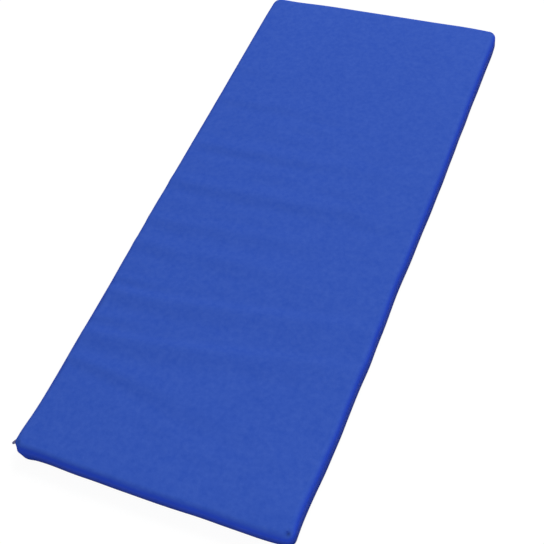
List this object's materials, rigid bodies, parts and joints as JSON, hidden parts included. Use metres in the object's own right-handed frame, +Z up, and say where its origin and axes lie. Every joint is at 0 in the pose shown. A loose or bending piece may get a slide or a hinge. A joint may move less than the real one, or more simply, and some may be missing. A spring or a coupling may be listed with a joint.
{
  "type": "foam exercise mat",
  "caption": "Flat rectangular foam mat in a removable sewn cover, with a zip and its sliding pull along one long side.",
  "frame": {"origin": "centre of the flat base, on the floor", "axes": "+X across the mat to the side without the zip, +Y along its length to the far end, +Z up"},
  "size_m": [0.6199, 1.404, 0.05],
  "materials": {
    "cover": "satin",
    "foam_soft": "matte",
    "foam_firm": "matte",
    "zip_tape": "matte",
    "zip_teeth": "satin",
    "zip_metal": "satin"
  },
  "bodies": {
    "mat": {"foam_soft_sheet": "foam_soft", "foam_firm_sheet": "foam_firm", "cover_top": "cover", "base_panel": "cover", "zip_facing": "cover", "near_zip_tab": "cover", "far_zip_tab": "cover", "zip_tape_upper": "zip_tape", "zip_tape_lower": "zip_tape", "zip_teeth_upper": "zip_teeth", "zip_teeth_lower": "zip_teeth", "zip_top_stops": "zip_teeth", "zip_bottom_stop": "zip_teeth"},
    "slider": {"zip_slider": "zip_metal"},
    "pull": {"zip_pull": "zip_metal"}
  },
  "joints": [
    {"name": "zip_slide", "type": "slide", "parent": "mat", "child": "slider", "axis": [0, 1, 0], "range_m": [0, 1.327], "deforming": ["zip_teeth_upper", "zip_teeth_lower"]},
    {"name": "pull_flip", "type": "hinge", "parent": "slider", "child": "pull", "pos_m": [-0.30245, -0.66536, 0.026], "axis": [0, 0.1736, -0.9848], "range_deg": [-32, 93]}
  ]
}
